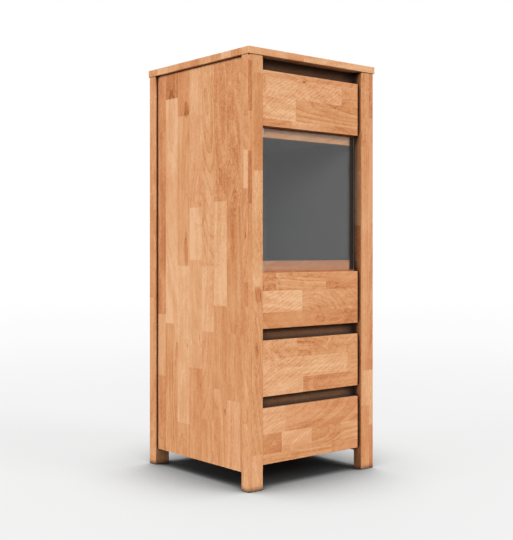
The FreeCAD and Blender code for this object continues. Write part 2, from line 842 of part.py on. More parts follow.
def make_pivot_brackets():
    """Angle brackets on the left post that carry the door's pins, and their flush screws."""
    screws = []
    brackets = []
    head_seat = -half_opening + s.bracket_thickness - s.bracket_screw_head_height
    shank = (s.bracket_screw_shank, s.bracket_screw_length)
    head = (s.bracket_screw_head, s.bracket_screw_head_height)
    for flip, z in ((False, glass_top), (True, glass_bottom)):
        way = -1 if flip else 1
        drops = [s.bracket_screw_first + s.bracket_screw_pitch * count for count in range(2)]
        for drop in drops:
            screws.append(pan_head_screw(head_seat, pivot_y, z - drop * way, -1, shank, head))
        body = pivot_end("pivot_bracket", flip, z)
        wall = -s.pivot_offset
        leg = s.shoe_cap + s.pivot_play
        half = s.bracket_width / 2
        angle = [
            (wall, -s.bracket_drop), (wall + s.bracket_thickness, -s.bracket_drop),
            (wall + s.bracket_thickness, leg), (wall + s.bracket_reach, leg),
            (wall + s.bracket_reach, leg + s.bracket_thickness), (wall, leg + s.bracket_thickness),
        ]
        pad(body, "angle", "XZ", -half, s.bracket_width, [angle])
        hole = [(ZERO, ZERO, s.pin_radius + s.pin_running_fit)]
        pocket(body, "pin_hole", "XY", leg, s.bracket_thickness, [], hole)
        for name, width, start, depth in (
            ("screw_holes", s.bracket_screw_shank, wall, s.bracket_thickness),
            ("head_seats", s.bracket_screw_head, head_seat + half_opening + wall,
             s.bracket_screw_head_height),
        ):
            holes = [fluted_hole(ZERO, -drop, width, SCREW_FLATS) for drop in drops]
            pocket(body, name, "YZ", start, depth, holes)
        brackets.append(body)
    node("door_bracket_screws", group("door_bracket_screws", screws))
    node("door_pivot_brackets", group("door_pivot_brackets", brackets))


def make_latch():
    """A push-to-open cartridge and its plunger, and the strike on the pane's edge strip."""
    low = (latch_x, rail_front, latch_z)
    tube = rod("latch_tube", low, s.latch_radius, s.latch_length, ALONG_Y)
    bore = rod("latch_bore", low, s.latch_bore, s.latch_bore_depth, ALONG_Y)
    node("latch_cartridge", cut("latch_cartridge", tube, bore))

    strike_front = glass_back + s.edge_strip_thickness
    tip = strike_front + s.strike_thickness + s.strike_gap
    plunger = new_body("latch_plunger", latch_x, tip, latch_z)
    pad(plunger, "rod", "XZ", ZERO, s.plunger_length, [], [(ZERO, ZERO, s.plunger_radius)])
    dress_edges("Chamfer", plunger, "tip", s.plunger_chamfer, lambda edge: lies_at(edge, "Y", 0))
    node("latch_plunger", plunger)

    low = (latch_x, strike_front, latch_z)
    node("door_strike", rod("door_strike", low, s.strike_radius, s.strike_thickness, ALONG_Y))


def make_all():
    make_top_panel()
    make_post("post_front_left", -1, False)
    make_post("post_front_right", 1, False)
    make_post("post_rear_left", -1, True)
    make_post("post_rear_right", 1, True)
    make_side_panel("side_panel_left", -1)
    make_side_panel("side_panel_right", 1)
    make_back_panel()
    make_bottom_panel()
    for name, bottom in RAIL_BOTTOMS.items():
        make_front_rail(name, bottom)
    make_dowels()
    make_display_boards()
    make_runner_battens()
    make_cabinet_slides()
    make_slide_screws()
    for drawer, bottom in FRONT_BOTTOMS.items():
        make_drawer(drawer, bottom)
    make_door_glass()
    make_door_edge_strip()
    make_pivot_shoes()
    make_pivot_pins()
    make_pivot_brackets()
    make_latch()


def check_and_export():
    """Stop on any failed object, then write one STEP file for each node."""
    doc.recompute()
    for item in doc.Objects:
        if "Invalid" in item.State or "Error" in item.State:
            raise RuntimeError(f"{item.Name} ({item.Label}) is {item.State}")
    for name, piece in NODES.items():
        if piece.Shape.isNull() or not piece.Shape.isValid():
            raise RuntimeError(f"{name} has no valid shape")
    os.makedirs("parts", exist_ok=True)
    for name, piece in NODES.items():
        piece.Shape.exportStep(f"parts/{name}.step")
        print(f"{name}: {len(piece.Shape.Solids)} solids, {piece.Shape.Volume / 1000:.1f} cm3")
    print(f"{len(NODES)} nodes")


make_all()
check_and_export()
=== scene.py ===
"""Looks for a tall narrow highboard in oiled, edge-glued solid wood.

All lengths are in metres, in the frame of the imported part: +Z up, the front looks along -Y.
"""

import json
import math
import random

import bmesh
import bpy
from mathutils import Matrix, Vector

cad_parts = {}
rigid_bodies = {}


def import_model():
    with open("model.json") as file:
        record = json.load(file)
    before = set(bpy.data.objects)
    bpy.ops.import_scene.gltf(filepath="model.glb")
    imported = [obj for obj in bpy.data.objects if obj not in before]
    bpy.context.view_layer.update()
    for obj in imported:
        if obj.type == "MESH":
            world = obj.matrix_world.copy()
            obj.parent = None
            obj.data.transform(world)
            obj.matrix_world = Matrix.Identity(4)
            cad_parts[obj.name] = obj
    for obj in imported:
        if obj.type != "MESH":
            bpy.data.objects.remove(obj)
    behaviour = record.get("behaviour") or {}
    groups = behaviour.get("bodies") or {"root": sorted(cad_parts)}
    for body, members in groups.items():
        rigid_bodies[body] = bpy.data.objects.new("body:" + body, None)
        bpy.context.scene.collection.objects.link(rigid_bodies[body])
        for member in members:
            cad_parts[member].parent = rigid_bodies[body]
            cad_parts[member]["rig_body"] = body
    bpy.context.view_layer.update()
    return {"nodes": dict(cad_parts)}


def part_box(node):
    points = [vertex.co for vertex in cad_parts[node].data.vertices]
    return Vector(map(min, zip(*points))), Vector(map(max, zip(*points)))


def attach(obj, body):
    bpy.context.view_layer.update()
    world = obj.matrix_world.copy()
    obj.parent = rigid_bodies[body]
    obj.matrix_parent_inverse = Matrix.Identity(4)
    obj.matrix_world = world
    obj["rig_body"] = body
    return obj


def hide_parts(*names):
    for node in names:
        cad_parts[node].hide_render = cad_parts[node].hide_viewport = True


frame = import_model()

AXES = {"X": 0, "Y": 1, "Z": 2}

# A stave's tone is its place on the colours of OILED_WOOD.
BRIGHT, LIGHT, PALE, FAIR, MID, DEEP, BROWN, DARK = 0.95, 0.82, 0.72, 0.63, 0.55, 0.44, 0.3, 0.12
# What the staves without a given tone draw theirs from.
TONES = (LIGHT, PALE, PALE, FAIR, FAIR, MID, MID, DEEP, DEEP, BROWN)
STAVE_LENGTH = (0.16, 0.46)
STAVE_WIDTH = 0.059
# How strong the flecks are: their usual range, and a stave where they stand out.
FLECKS = (0.7, 1.5)
FLECKED = 1.9
# How far a seed of 1 moves a board through its noise.
SEED_SHIFT = 57.0
# Where the pith of a board's tree lies, beside the board's middle and behind it.
PITH_SIDE = (-0.04, 0.04)
PITH_DEPTH = (0.02, 0.075)
# Mesh points this close are taken as one.
TOUCHING = 1e-6


def rgb(red, green, blue):
    """A display colour from 0 to 255 as the linear colour that a shader takes."""
    def linear(channel):
        c = channel / 255
        return c / 12.92 if c <= 0.04045 else ((c + 0.055) / 1.055) ** 2.4

    return (linear(red), linear(green), linear(blue), 1.0)


# From the darkest streak at 0 to the palest at 1.
OILED_WOOD = (
    (0.0, rgb(150, 86, 48)),
    (0.15, rgb(188, 119, 74)),
    (0.3, rgb(203, 135, 87)),
    (0.45, rgb(211, 147, 98)),
    (0.58, rgb(217, 157, 109)),
    (0.72, rgb(222, 165, 119)),
    (0.86, rgb(227, 173, 128)),
    (1.0, rgb(236, 187, 144)),
)
REDDISH = rgb(218, 143, 103)
# The dark brown that painted shade in corners and gaps passes into.
PAINTED_SHADE = rgb(50, 39, 32)

# Pairs run from dark to pale.
BOX_COLOURS = (rgb(196, 150, 104), rgb(232, 196, 152))
BOARD_COLOURS = (rgb(190, 140, 96), rgb(220, 178, 132))
LINING_COLOURS = (rgb(89, 89, 89), rgb(107, 106, 106))
PLASTIC_COLOURS = (rgb(35, 35, 37), rgb(48, 48, 50))
PANE = (0.90, 0.92, 0.91, 1.0)
GROUND_EDGE = rgb(160, 182, 176)
# The floor's colour in the light that it throws back on the cabinet.
FLOOR_BOUNCE = rgb(100, 100, 100)
WHITE = (1, 1, 1, 1)


class Graph:
    """The node tree of a new material or world, with short calls for what the trees share."""

    def __init__(self, owner, output="OutputMaterial"):
        self.owner = owner
        owner.use_nodes = True
        self.tree = owner.node_tree
        self.tree.nodes.clear()
        self.output = self.add(output)

    def add(self, kind, settings=None, **inputs):
        node = self.tree.nodes.new("ShaderNode" + kind)
        for key, value in (settings or {}).items():
            setattr(node, key, value)
        for key, value in inputs.items():
            self.connect(node.inputs[key.replace("_", " ")], value)
        return node

    def connect(self, socket, value):
        if isinstance(value, bpy.types.NodeSocket):
            self.tree.links.new(value, socket)
        else:
            socket.default_value = value

    def math(self, operation, *values):
        node = self.add("Math", {"operation": operation})
        for socket, value in zip(node.inputs, values):
            self.connect(socket, value)
        return node.outputs[0]

    def length(self, x, y):
        squares = self.math("ADD", self.math("MULTIPLY", x, x), self.math("MULTIPLY", y, y))
        return self.math("SQRT", squares)

    def vary(self, value, part, weight):
        """A value plus the weighted part, where a part of 0.5 changes nothing."""
        return self.math("MULTIPLY_ADD", self.math("SUBTRACT", part, 0.5), weight, value)

    def vector_math(self, operation, *vectors):
        node = self.add("VectorMath", {"operation": operation})
        for socket, vector in zip(node.inputs, vectors):
            self.connect(socket, vector)
        return node.outputs["Value" if operation in ("DOT_PRODUCT", "LENGTH") else "Vector"]

    def split(self, vector):
        return self.add("SeparateXYZ", Vector=vector).outputs

    def place(self):
        return self.add("TexCoord").outputs["Object"]

    def attribute(self, name):
        return self.add("Attribute", {"attribute_name": name}).outputs

    def stretch(self, coordinates, scales, shift=0.0):
        """A place in a noise, from three coordinates in metres and their scales per metre."""
        x, y, z = coordinates
        return self.add("CombineXYZ", X=self.math("MULTIPLY_ADD", x, scales[0], shift),
                        Y=self.math("MULTIPLY", y, scales[1]),
                        Z=self.math("MULTIPLY", z, scales[2])).outputs[0]

    def noise(self, vector, scale=1.0, detail=2.0, roughness=0.5, distortion=0.0):
        node = self.add("TexNoise", Vector=vector, Scale=scale, Detail=detail,
                        Roughness=roughness, Distortion=distortion)
        return node.outputs["Fac"]

    def noise_along(self, position, detail=2.0, roughness=0.5):
        node = self.add("TexNoise", {"noise_dimensions": "1D"}, W=position, Scale=1.0,
                        Detail=detail, Roughness=roughness)
        return node.outputs["Fac"]

    def random(self, seed, salt):
        """Three even random numbers from 0 to 1 for a seed. Each salt gives another three."""
        seed_spread = 731.0
        position = self.math("MULTIPLY_ADD", seed, seed_spread, salt)
        node = self.add("TexWhiteNoise", {"noise_dimensions": "1D"}, W=position)
        return self.add("SeparateColor", Color=node.outputs["Color"]).outputs

    def openness(self, reach, samples):
        """1 in the open, and less where other surfaces within reach stand over a point."""
        return self.add("AmbientOcclusion", {"samples": samples}, Distance=reach).outputs["AO"]

    def seen(self):
        """1 where the camera looks, also by way of metal and through glass."""
        path = self.add("LightPath").outputs
        return self.math("MAXIMUM", path["Is Camera Ray"], self.math(
            "MAXIMUM", path["Is Glossy Ray"], path["Is Transmission Ray"]))

    def remap(self, value, low, high, to_low=0.0, to_high=1.0):
        """A smooth step from to_low to to_high while the value goes from low to high."""
        node = self.add("MapRange", {"interpolation_type": "SMOOTHSTEP"}, Value=value)
        for socket, number in zip(node.inputs[1:5], (low, high, to_low, to_high)):
            socket.default_value = number
        return node.outputs[0]

    def ramp(self, value, *stops):
        node = self.add("ValToRGB", Fac=value)
        elements = node.color_ramp.elements
        while len(elements) < len(stops):
            elements.new(0.5)
        for element, (place, colour) in zip(elements, stops):
            element.position = place
            element.color = colour
        return node.outputs["Color"]

    def mix(self, factor, first, second):
        """One colour passing into another, by the Mix node's colour sockets."""
        node = self.add("Mix", {"data_type": "RGBA"})
        for index, value in ((0, factor), (6, first), (7, second)):
            self.connect(node.inputs[index], value)
        return node.outputs[2]

    def blend(self, factor, first, second):
        """One shader passing into another."""
        node = self.add("MixShader")
        for socket, value in zip(node.inputs, (factor, first, second)):
            self.connect(socket, value)
        return node.outputs[0]

    def shader(self, kind, **inputs):
        return self.add(kind, **inputs).outputs[0]

    def finish(self, shader):
        self.connect(self.output.inputs["Surface"], shader)
        return self.owner

    def surface(self, colour, roughness, height, depth, strength, **inputs):
        """The finished material, with a relief that is depth metres deep where height is 1."""
        normal = self.add("Bump", Height=height, Distance=depth, Strength=strength).outputs[0]
        return self.finish(self.shader("BsdfPrincipled", Base_Color=colour, Roughness=roughness,
                                       Normal=normal, **inputs))


def new_material(name):
    return Graph(bpy.data.materials.new(name))


def wood_coordinates(graph, grain):
    """(along, across, depth) for a board whose grain runs along an axis.

    They start at the middle of the stave, or at the frame's origin where there are no staves.
    """
    local = graph.vector_math("SUBTRACT", graph.place(), graph.attribute("stave_middle")["Vector"])
    parts = graph.split(local)
    along = AXES[grain]
    depth, across = [axis for axis in range(3) if axis != along]
    return parts[along], parts[across], parts[depth]


def growth_rings(graph, coordinates, seed, lean=0.16):
    """Distance from a leaning, wavy pith, which gives straight lines, arcs and cathedrals.

    lean is how far the pith may run out in depth for each metre of stave. The second result is
    a random number from 0 to 1, for the width of the rings.
    """
    side_lean = 0.08
    along, across, depth = coordinates
    side, lift, tilt = graph.random(seed, salt=1.7)
    sway, spread, _ = graph.random(seed, salt=9.1)
    waves = graph.stretch(coordinates, (7.0, 16.0, 16.0), graph.math("MULTIPLY", seed, 91.0))
    wave = graph.math("SUBTRACT", graph.noise(waves), 0.5)
    lean_across = graph.math("MULTIPLY", along, graph.remap(tilt, 0, 1, -side_lean, side_lean))
    lean_depth = graph.math("MULTIPLY", along, graph.remap(sway, 0, 1, -lean, lean))
    pith_across = graph.math("ADD", graph.remap(side, 0, 1, *PITH_SIDE), lean_across)
    pith_depth = graph.math("ADD", graph.remap(lift, 0, 1, *PITH_DEPTH), lean_depth)
    x = graph.math("ADD", graph.math("ADD", across, pith_across),
                   graph.math("MULTIPLY", wave, 0.024))
    y = graph.math("ADD", graph.math("ADD", depth, pith_depth),
                   graph.math("MULTIPLY", wave, 0.014))
    return graph.length(x, y), spread


def figure_marks(graph, marks):
    """How much darker the wood is at its knots and heart figures.

    A mark is (centre, half size, depth, rings). Without rings it is an even stain.
    """
    place = graph.place()
    uneven = graph.math("SUBTRACT", graph.noise(place, scale=45.0), 0.5)
    wobble = graph.math("MULTIPLY", uneven, 0.7)
    total = 0.0
    for centre, size, depth, rings in marks:
        offset = graph.vector_math("SUBTRACT", place, centre)
        scaled = graph.vector_math("DIVIDE", offset, size)
        reach = graph.math("ADD", graph.vector_math("LENGTH", scaled), wobble)
        mark = graph.remap(reach, 0.75, 1.1, depth, 0.0)
        if rings:
            # With each ring the line grows from 0 to a quarter and shrinks again.
            turn = graph.math("MULTIPLY", reach, rings)
            line = graph.math("POWER", graph.math("PINGPONG", turn, 0.5), 2.0)
            mark = graph.math("MULTIPLY", mark, graph.math("MULTIPLY", line, 4.0))
        total = graph.math("ADD", mark, total)
    return total


def painted_edge_highlight(graph):
    """1 along the edges, where the wood gets a painted highlight."""
    highlight_width = 0.0022
    rounded = graph.add("Bevel", {"samples": 4}, Radius=highlight_width).outputs["Normal"]
    flat = graph.add("NewGeometry").outputs["Normal"]
    sameness = graph.vector_math("DOT_PRODUCT", rounded, flat)
    return graph.remap(sameness, 0.8, 0.995, 1.0, 0.0)


def slanting_ripples(graph, coordinates, slope, sway):
    """Narrow wavy bands from 0 to 1.

    slope, a random number from 0 to 1, sets their slant, and sway, a noise, bends them.
    """
    radians_per_metre = 560.0
    along, across, depth = coordinates
    slant = graph.math("MULTIPLY", graph.remap(slope, 0, 1, -0.45, -0.75), radians_per_metre)
    place = graph.math("MULTIPLY_ADD", graph.math("ADD", across, depth), radians_per_metre,
                       graph.math("MULTIPLY", along, slant))
    band = graph.math("SINE", graph.math("MULTIPLY_ADD", sway, 14.0, place))
    return graph.math("POWER", graph.math("MULTIPLY_ADD", band, 0.5, 0.5), 4.0)


def stave_wood(name, grain, lean=0.16, flame=0.1, painted_recess_shades=(), marks=()):
    """Oiled heart beech. Each stave has its own tone and figure.

    Pale staves are cut on the quarter and show a flame of slanting ripples, and the darker ones
    show rings. Each painted recess shade (reach, openness from, openness to, least light) darkens
    the wood in corners and gaps with painted shade.
    """
    graph = new_material(name)
    coordinates = wood_coordinates(graph, grain)
    seed, tone, fleck_share = (
        graph.attribute(layer)["Fac"] for layer in ("stave_seed", "stave_tone", "stave_fleck"))
    shift = graph.math("MULTIPLY", seed, SEED_SHIFT)
    radius, spread = growth_rings(graph, coordinates, seed, lean)
    tint, _, slope = graph.random(seed, salt=4.3)

    def grained(along_scale, cross_scale, salt=0.0, **settings):
        """Noise stretched along the grain. Each salt gives noise of its own."""
        scales = (along_scale, cross_scale, cross_scale)
        place = graph.stretch(coordinates, scales, graph.math("ADD", shift, salt))
        return graph.noise(place, **settings)

    drift = grained(3.0, 9.0, salt=71.0, detail=1.0)
    streaks = grained(2.6, 80.0, detail=3.0, roughness=0.6)
    clouds = grained(11.0, 24.0, salt=11.0, detail=3.0, roughness=0.55)
    flecks = grained(80.0, 170.0, salt=23.0, detail=3.0, roughness=0.7, distortion=1.6)
    fibres = grained(50.0, 1300.0, salt=31.0, detail=3.0, roughness=0.7)
    sway = grained(12.0, 26.0, salt=47.0)
    dashes = graph.remap(grained(45.0, 110.0, salt=83.0, roughness=0.6), 0.4, 0.58, 0.15, 1.0)

    ring_place = graph.math("MULTIPLY_ADD", radius, graph.remap(spread, 0, 1, 75.0, 130.0), shift)
    rings = graph.noise_along(ring_place, detail=1.0, roughness=0.6)
    ring_edge = graph.math("POWER", graph.math("FRACT", ring_place), 6.0)
    ripple = slanting_ripples(graph, coordinates, slope, sway)
    # 0 for staves up to about FAIR, and 1 for those from about LIGHT.
    quarter = graph.remap(tone, 0.62, 0.8)
    ripple_share = graph.math("MULTIPLY", quarter, dashes)
    ring_share = graph.math("MULTIPLY", graph.math("SUBTRACT", 1.0, quarter),
                            graph.remap(tone, 0.4, 0.55, 0.25, 1.0))

    value = tone
    for part, weight in (
        (rings, 0.38), (drift, 0.5), (streaks, 0.56), (clouds, 0.56), (fibres, 0.24),
        (flecks, fleck_share),
    ):
        value = graph.vary(value, part, weight)
    for part, weight in (
        (graph.math("MULTIPLY", ripple, ripple_share), -flame),
        (graph.math("MULTIPLY", ring_edge, ring_share), -0.30),
        (quarter, 0.05),
        # A painted highlight along the edges.
        (painted_edge_highlight(graph), 0.22),
    ):
        value = graph.math("MULTIPLY_ADD", part, weight, value)
    value = graph.math("MAXIMUM", value, DARK)
    if marks:
        value = graph.math("SUBTRACT", value, figure_marks(graph, marks))

    colour = graph.ramp(value, *OILED_WOOD)
    colour = graph.mix(graph.remap(tint, 0, 1, 0.0, 0.14), colour, REDDISH)
    # Painted shade: the wood passes into a dark brown where other surfaces stand close over it.
    for reach, open_from, open_to, least_light in painted_recess_shades:
        openness = graph.openness(reach, samples=12)
        light = graph.remap(openness, open_from, open_to, least_light, 1.0)
        colour = graph.mix(light, PAINTED_SHADE, colour)
    rough = graph.remap(fibres, 0.2, 0.8, 0.66, 0.80)
    height = graph.math("ADD", graph.math("MULTIPLY", fibres, 0.6),
                        graph.math("MULTIPLY", rings, 0.4))
    return graph.surface(colour, rough, height, depth=0.00012, strength=0.6,
                         Specular_IOR_Level=0.12)


def plain_wood(name, grain, colours, contrast):
    """Unstaved wood: the drawer boxes, battens and thin boards."""
    graph = new_material(name)
    coordinates = wood_coordinates(graph, grain)
    seed = graph.add("ObjectInfo").outputs["Random"]
    radius, _ = growth_rings(graph, coordinates, seed)
    rings = graph.noise_along(graph.math("MULTIPLY", radius, 240.0))
    shift = graph.math("MULTIPLY", seed, SEED_SHIFT)
    fibres = graph.noise(graph.stretch(coordinates, (40.0, 1200.0, 1200.0), shift), detail=3.0)
    clouds = graph.noise(graph.stretch(coordinates, (4.0, 40.0, 1.0)))
    value = 0.5
    for part in (rings, fibres, clouds):
        value = graph.vary(value, part, contrast)
    colour = graph.ramp(value, *zip((0.0, 1.0), colours))
    return graph.surface(colour, 0.5, fibres, depth=0.0001, strength=0.5)


def dark_lining():
    """Matt anthracite laminate with a fine grain."""
    graph = new_material("dark_lining")
    place = graph.place()
    speckle = graph.noise(place, scale=900.0, detail=3.0)
    clouds = graph.noise(place, scale=7.0)
    value = graph.math("MULTIPLY_ADD", speckle, 0.4, graph.math("MULTIPLY", clouds, 0.6))
    colour = graph.ramp(value, *zip((0.2, 0.8), LINING_COLOURS))
    return graph.surface(colour, 0.6, speckle, depth=0.00008, strength=0.5)


def dark_plastic():
    """Matt black plastic with a fine pebble."""
    graph = new_material("dark_plastic")
    pebble = graph.noise(graph.place(), scale=2500.0)
    colour = graph.ramp(pebble, *zip((0.2, 0.8), PLASTIC_COLOURS))
    return graph.surface(colour, 0.45, pebble, depth=0.00004, strength=0.6)


def clear_glass():
    """Clear pane that lets lamps through, with ground edges."""
    refraction = 1.5
    graph = new_material("clear_glass")
    normal = graph.split(graph.add("TexCoord").outputs["Normal"])
    edge = graph.remap(graph.math("ABSOLUTE", normal[1]), 0.35, 0.8, 1.0, 0.0)
    grind = graph.noise(graph.place(), scale=1800.0)
    pane = graph.shader("BsdfPrincipled", Base_Color=PANE, Roughness=0.0, IOR=refraction,
                        Transmission_Weight=1.0)
    ground = graph.shader("BsdfPrincipled", Base_Color=GROUND_EDGE, IOR=refraction,
                          Transmission_Weight=0.6,
                          Roughness=graph.remap(grind, 0.2, 0.8, 0.25, 0.45))
    path = graph.add("LightPath").outputs
    lamps = graph.math("MAXIMUM", path["Is Shadow Ray"], path["Is Diffuse Ray"])
    clear = graph.shader("BsdfTransparent", Color=PANE)
    return graph.finish(graph.blend(lamps, graph.blend(edge, pane, ground), clear))


def metal(name, colour, roughness, along_scale, cross_scale):
    """Zinc or nickel plate. Its fine lines run along Y where along_scale is the smaller one."""
    graph = new_material(name)
    scales = (cross_scale, along_scale, cross_scale)
    lines = graph.noise(graph.stretch(graph.split(graph.place()), scales), detail=3.0)
    darker = [channel - 14 for channel in colour]
    tint = graph.mix(graph.remap(lines, 0.2, 0.8), rgb(*darker), rgb(*colour))
    rough = graph.remap(lines, 0.2, 0.8, roughness - 0.06, roughness + 0.08)
    return graph.surface(tint, rough, lines, depth=0.00005, strength=0.4, Metallic=1.0)


def dress(material, *nodes):
    """Give CAD nodes their material."""
    for node in nodes:
        mesh = frame["nodes"][node].data
        mesh.materials.clear()
        mesh.materials.append(material)


def show(name, data):
    """Put a camera, lamp or mesh in the scene."""
    holder = bpy.data.objects.new(name, data)
    bpy.context.scene.collection.objects.link(holder)
    return holder


def stave_mesh(node):
    """The CAD node's own shape as an editable mesh with large flat faces."""
    mesh = bmesh.new()
    mesh.from_mesh(frame["nodes"][node].data)
    bmesh.ops.remove_doubles(mesh, verts=mesh.verts, dist=TOUCHING)
    bmesh.ops.dissolve_limit(mesh, angle_limit=math.radians(0.3), verts=mesh.verts,
                             edges=mesh.edges)
    return mesh


def cut_across(mesh, faces, axis, place):
    """Split the given faces where they cross a plane square to the axis."""
    point = Vector((0, 0, 0))
    point[axis] = place
    normal = Vector((0, 0, 0))
    normal[axis] = 1
    edges = {edge for face in faces for edge in face.edges}
    verts = {vert for face in faces for vert in face.verts}
    bmesh.ops.bisect_plane(mesh, geom=[*verts, *edges, *faces], dist=TOUCHING, plane_co=point,
                           plane_no=normal)


def column_of(place, cuts):
    """How many of the cuts lie below a place."""
    return sum(place > cut for cut in cuts)


def random_joints(low, high, draw, first_tone=None):
    """Butt joints at random lengths, and a tone for each stave between them."""
    joints = []
    place = low + draw.uniform(*STAVE_LENGTH) * draw.uniform(0.3, 1.0)
    while place < high - STAVE_LENGTH[0] / 2:
        joints.append((place, draw.choice(TONES)))
        place += draw.uniform(*STAVE_LENGTH)
    joints.append((high, draw.choice(TONES)))
    if first_tone is not None:
        joints[0] = (joints[0][0], first_tone)
    return joints


def even_cuts(low, high, draw):
    """Glue lines a stave apart, starting at a random part of a stave."""
    least_strip = STAVE_WIDTH * 0.12
    cuts = []
    place = low + STAVE_WIDTH * draw.uniform(0.3, 1.0)
    while place < high - least_strip:
        cuts.append(place)
        place += STAVE_WIDTH
    return cuts


def put_in_place(node, mesh, wood):
    """Show the divided mesh instead of its CAD node."""
    data = bpy.data.meshes.new(node + "_staves")
    mesh.to_mesh(data)
    mesh.free()
    data.materials.append(wood)
    data.set_sharp_from_angle(angle=math.radians(35))
    piece = show(node + "_staves", data)
    weighted = piece.modifiers.new("flat_faces", "WEIGHTED_NORMAL")
    weighted.keep_sharp = True
    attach(piece, frame["nodes"][node]["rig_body"])
    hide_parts(node)


def glue_up(node, grain, across, cuts=None, staves=None, second=None, wood=None):
    """Replace a CAD node by the same shape divided into its staves.

    cuts are the glue lines along the axis across, and second is a further axis with its glue
    lines. staves gives, for a column of that grid, its staves from the lowest up as (upper end
    along the grain, tone), with FLECKED as a third item where the flecks stand out, or its
    lowest tone alone. The rest is random.
    """
    low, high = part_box(node)
    draw = random.Random(node)
    along, wide = AXES[grain], AXES[across]
    cuts = even_cuts(low[wide], high[wide], draw) if cuts is None else cuts
    deep, deep_cuts = (AXES[second[0]], second[1]) if second else (0, [])
    mesh = stave_mesh(node)
    for axis, places in ((wide, cuts), (deep, deep_cuts)):
        for place in places:
            cut_across(mesh, mesh.faces[:], axis, place)

    def column(face):
        middle = face.calc_center_median()
        return column_of(middle[wide], cuts), column_of(middle[deep], deep_cuts)

    joints = {}
    for key in sorted({column(face) for face in mesh.faces}):
        given = (staves or {}).get(key)
        if isinstance(given, list):
            joints[key] = given
        else:
            joints[key] = random_joints(low[along], high[along], draw, given)
        for joint in joints[key][:-1]:
            cut_across(mesh, [face for face in mesh.faces if column(face) == key], along,
                       joint[0])
    seeds = {(key, i): draw.random() for key in joints for i in range(len(joints[key]))}
    flecks = {stave: draw.uniform(*FLECKS) for stave in seeds}
    seed_layer = mesh.faces.layers.float.new("stave_seed")
    tone_layer = mesh.faces.layers.float.new("stave_tone")
    fleck_layer = mesh.faces.layers.float.new("stave_fleck")
    middle_layer = mesh.faces.layers.float_vector.new("stave_middle")
    edges = [low[wide], *cuts, high[wide]]
    rest = 3 - along - wide
    for face in mesh.faces:
        key = column(face)
        ends = [joint[0] for joint in joints[key]]
        index = column_of(face.calc_center_median()[along], ends[:-1])
        start = ends[index - 1] if index else low[along]
        middle = Vector((0, 0, 0))
        middle[along] = (start + ends[index]) / 2
        middle[wide] = (edges[key[0]] + edges[key[0] + 1]) / 2
        middle[rest] = (low[rest] + high[rest]) / 2
        _, tone, *stronger_flecks = joints[key][index]
        face[seed_layer] = seeds[key, index]
        face[tone_layer] = tone
        face[fleck_layer] = stronger_flecks[0] if stronger_flecks else flecks[key, index]
        face[middle_layer] = middle
        face.smooth = True
    put_in_place(node, mesh, wood or CARCASS_WOOD[grain])


def rows(*columns):
    """Staves for columns that fill the first row of a grid."""
    return {(count, 0): staves for count, staves in enumerate(columns)}


# The faces that the marks lie on, and how far a mark reaches into the wood.
POST_SIDE, POST_FACE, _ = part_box("post_front_left")[0]
PANEL_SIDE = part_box("side_panel_left")[0].x
FRONT_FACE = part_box("drawer_1_front")[0].y
MARK_REACH = 0.02


def side_mark(y, z, half_width, half_height, depth, rings=0, side=PANEL_SIDE):
    """A knot or heart figure that the photograph shows on the left side."""
    return (side, y, z), (MARK_REACH, half_width, half_height), depth, rings


def front_mark(x, z, half_width, half_height, depth, rings=0, face=FRONT_FACE):
    """A knot or heart figure that the photograph shows on the front."""
    return (x, face, z), (half_width, MARK_REACH, half_height), depth, rings


UPRIGHT_MARKS = (
    side_mark(0.0600, 1.062, 0.0150, 0.026, 0.30),
    side_mark(0.1358, 1.040, 0.0210, 0.100, 0.22, 2),
    side_mark(0.0600, 0.655, 0.0120, 0.060, 0.28),
    side_mark(0.0000, 0.770, 0.0450, 0.065, 0.20, 2),
    side_mark(-0.1680, 0.780, 0.0220, 0.040, 0.25, 3),
    side_mark(-0.1245, 0.202, 0.0030, 0.011, 0.50),
    side_mark(-0.0693, 0.068, 0.0025, 0.020, 0.45),
    side_mark(0.0550, 0.372, 0.0030, 0.009, 0.45),
    side_mark(-0.0050, 0.398, 0.0025, 0.014, 0.40),
    side_mark(-0.2250, 0.690, 0.0020, 0.010, 0.45, side=POST_SIDE),
    front_mark(-0.2125, 0.395, 0.0150, 0.095, 0.26, 3, face=POST_FACE),
    front_mark(-0.2125, 0.378, 0.0060, 0.024, 0.20, face=POST_FACE),
    front_mark(-0.2100, 0.528, 0.0170, 0.022, 0.24, face=POST_FACE),
)
FRONT_MARKS = (
    front_mark(-0.0304, 1.1275, 0.008, 0.0035, 0.60),
    front_mark(-0.1765, 1.105, 0.006, 0.026, 0.30),
    front_mark(0.0450, 1.100, 0.120, 0.042, 0.24, 3),
    front_mark(-0.1500, 0.545, 0.045, 0.040, 0.22, 2),
    front_mark(-0.0200, 0.600, 0.075, 0.046, 0.22, 3),
    front_mark(0.1120, 0.520, 0.070, 0.050, 0.10, 1),
    front_mark(-0.0800, 0.372, 0.120, 0.070, 0.22, 4),
    front_mark(0.1350, 0.402, 0.090, 0.040, 0.22, 2),
    front_mark(0.0300, 0.455, 0.028, 0.016, 0.22, 1),
)

# Painted shade darkens gaps and open joints, and the recess with the long reach paints shadow on
# the legs' inner faces.
CARCASS_WOOD = {
    "X": stave_wood("stave_wood_X", "X", painted_recess_shades=[(0.03, 0.45, 0.77, 0.05)]),
    "Z": stave_wood("stave_wood_Z", "Z", marks=UPRIGHT_MARKS,
                    painted_recess_shades=[(0.036, 0.54, 0.7, 0.04), (0.25, 0.2, 0.48, 0.2)]),
}
# The rails behind the grip gaps get a deep painted shade.
RAIL_WOOD = stave_wood("rail_wood", "X", painted_recess_shades=[(0.05, 0.48, 1.12, 0.02)])
FRONT_WOOD = stave_wood("front_wood", "X", lean=0.34, flame=0.36, marks=FRONT_MARKS)
STEEL = metal("zinc_steel", (196, 199, 203), 0.34, along_scale=30.0, cross_scale=900.0)
NICKEL = metal("satin_nickel", (160, 157, 150), 0.42, along_scale=700.0, cross_scale=700.0)

